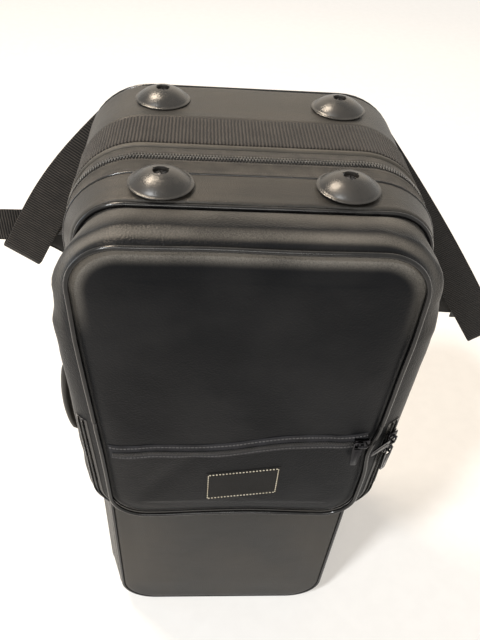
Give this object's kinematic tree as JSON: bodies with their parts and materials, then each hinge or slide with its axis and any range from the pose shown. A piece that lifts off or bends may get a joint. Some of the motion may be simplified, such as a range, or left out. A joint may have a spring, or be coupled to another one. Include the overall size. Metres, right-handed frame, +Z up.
{
  "type": "alto saxophone case",
  "caption": "Zipped alto saxophone case with a front pocket, round rubber feet, a side handle, shoulder straps and a moulded insert.",
  "frame": {"origin": "On the standing surface, at mid width, under the middle of the webbing band at the neck end.", "axes": "+Z up, from the neck end that the case stands on to the end with the feet; +X across the width, to the side where the lid hinges; +Y from the pocket to the back face."},
  "size_m": [0.7032, 0.3052, 0.6519],
  "materials": {
    "leatherette": "satin grained artificial leather, nearly black",
    "binding": "satin artificial leather, grey brown",
    "piping": "glossy black cord piping",
    "webbing": "ribbed woven webbing, brown black",
    "tape": "matt woven zip tape",
    "coil": "satin black zip coil",
    "pocket_leatherette": "grained artificial leather, blue black",
    "rubber": "satin moulded rubber, grey brown",
    "dark_metal": "glossy black plated metal",
    "steel": "plain bright steel",
    "shell_board": "raw moulded board, covered on the outside",
    "plush": "short plush over foam",
    "label_fabric": "bare woven patch",
    "pad_fabric": "padded woven nylon",
    "black_plastic": "moulded black plastic"
  },
  "bodies": {
    "case_back": {"back_core": "shell_board", "back_wall_cover": "leatherette", "back_panel_cover": "leatherette", "back_piping": "piping", "webbing_band": "webbing", "back_binding": "binding", "back_zip_tape": "tape", "back_zip_coil": "coil", "hinge_strip": "leatherette", "foam_insert": "plush", "accessory_box": "plush", "foot_back_left": "rubber", "foot_back_right": "rubber", "foot_screw_back_left": "steel", "foot_screw_back_right": "steel", "handle_bracket_upper": "dark_metal", "handle_bracket_lower": "dark_metal", "side_tab": "binding", "strap_webbing_left": "webbing", "strap_webbing_right": "webbing", "strap_lock_left": "black_plastic", "strap_lock_right": "black_plastic", "strap_pad_left": "pad_fabric", "strap_pad_right": "pad_fabric", "strap_anchor": "leatherette"},
    "lid": {"lid_core": "shell_board", "lid_wall_cover": "leatherette", "lid_front_cover": "leatherette", "lid_piping": "piping", "lid_seam_edge": "piping", "lid_zip_tape": "tape", "lid_zip_coil": "coil", "lid_pad": "plush", "foot_lid_left": "rubber", "foot_lid_right": "rubber", "foot_screw_lid_left": "steel", "foot_screw_lid_right": "steel", "pocket_body": "pocket_leatherette", "pocket_piping_upper": "piping", "pocket_zip_coil": "coil"},
    "pocket_flap_body": {"pocket_flap": "pocket_leatherette", "pocket_piping_flap": "piping", "flap_zip_coil": "coil", "front_zip_tape": "tape", "front_zip_coil": "coil", "label_patch": "label_fabric"},
    "accessory_lid_body": {"accessory_lid": "plush"},
    "handle": {"handle_grip": "leatherette", "handle_end_upper": "steel", "handle_end_lower": "steel"},
    "main_slider_upper_body": {"main_slider_upper": "dark_metal"},
    "main_pull_upper_body": {"main_pull_upper": "dark_metal"},
    "main_slider_lower_body": {"main_slider_lower": "dark_metal"},
    "main_pull_lower_body": {"main_pull_lower": "dark_metal"},
    "pocket_slider_upper_body": {"pocket_slider_upper": "dark_metal"},
    "pocket_pull_upper_body": {"pocket_pull_upper": "dark_metal"},
    "pocket_slider_lower_body": {"pocket_slider_lower": "dark_metal"},
    "pocket_pull_lower_body": {"pocket_pull_lower": "dark_metal"},
    "front_slider_body": {"front_slider": "dark_metal"},
    "front_pull_body": {"front_pull": "dark_metal"}
  },
  "joints": [
    {"name": "lid_hinge", "type": "hinge", "parent": "case_back", "child": "lid", "pos_m": [0.1585, -0.047, 0], "axis": [0, 0, 1], "range_deg": [0, 130], "deforming": ["hinge_strip"]},
    {"name": "accessory_lid_hinge", "type": "hinge", "parent": "case_back", "child": "accessory_lid_body", "pos_m": [0.131, -0.0343, 0.04], "axis": [0, 0, 1], "range_deg": [0, 95]},
    {"name": "handle_swing", "type": "hinge", "parent": "case_back", "child": "handle", "pos_m": [-0.15918, -0.003, 0.296], "axis": [-0.0094, 0, 1], "range_deg": [-65, 65]},
    {"name": "main_slider_upper_travel", "type": "slide", "parent": "case_back", "child": "main_slider_upper_body", "axis": [-0.0094, 0, 1], "range_m": [0, 0.08]},
    {"name": "main_pull_upper_lift", "type": "hinge", "parent": "main_slider_upper_body", "child": "main_pull_upper_body", "pos_m": [-0.16039, -0.047, 0.47881], "axis": [0, 1, 0], "range_deg": [0, 95]},
    {"name": "main_slider_lower_travel", "type": "slide", "parent": "case_back", "child": "main_slider_lower_body", "axis": [-0.0094, 0, 1], "range_m": [-0.39, 0]},
    {"name": "main_pull_lower_lift", "type": "hinge", "parent": "main_slider_lower_body", "child": "main_pull_lower_body", "pos_m": [-0.16024, -0.047, 0.46281], "axis": [0, 1, 0], "range_deg": [0, 95]},
    {"name": "pocket_flap_fold", "type": "hinge", "parent": "lid", "child": "pocket_flap_body", "pos_m": [0, -0.16271, 0.445], "axis": [-1, 0, 0], "range_deg": [0, 75]},
    {"name": "pocket_slider_upper_travel", "type": "slide", "parent": "pocket_flap_body", "child": "pocket_slider_upper_body", "axis": [0.0215, 0, 0.9998], "range_m": [0, 0.018]},
    {"name": "pocket_pull_upper_lift", "type": "hinge", "parent": "pocket_slider_upper_body", "child": "pocket_pull_upper_body", "pos_m": [0.14184, -0.15408, 0.41929], "axis": [-0.828, -0.5608, 0], "range_deg": [0, 90]},
    {"name": "pocket_slider_lower_travel", "type": "slide", "parent": "pocket_flap_body", "child": "pocket_slider_lower_body", "axis": [0.0215, 0, 0.9998], "range_m": [-0.05, 0]},
    {"name": "pocket_pull_lower_lift", "type": "hinge", "parent": "pocket_slider_lower_body", "child": "pocket_pull_lower_body", "pos_m": [0.1415, -0.15408, 0.4033], "axis": [-0.828, -0.5608, 0], "range_deg": [0, 90]},
    {"name": "front_slider_travel", "type": "slide", "parent": "pocket_flap_body", "child": "front_slider_body", "axis": [0.9954, 0, 0.0958], "range_m": [-0.215, 0]},
    {"name": "front_pull_swing", "type": "hinge", "parent": "front_slider_body", "child": "front_pull_body", "pos_m": [0.10853, -0.1681, 0.42524], "axis": [0, 0, 1], "range_deg": [0, 90]}
  ],
  "couplings": [
    {"joint": "accessory_lid_hinge", "follows": "lid_hinge", "ratio": 0.6}
  ]
}
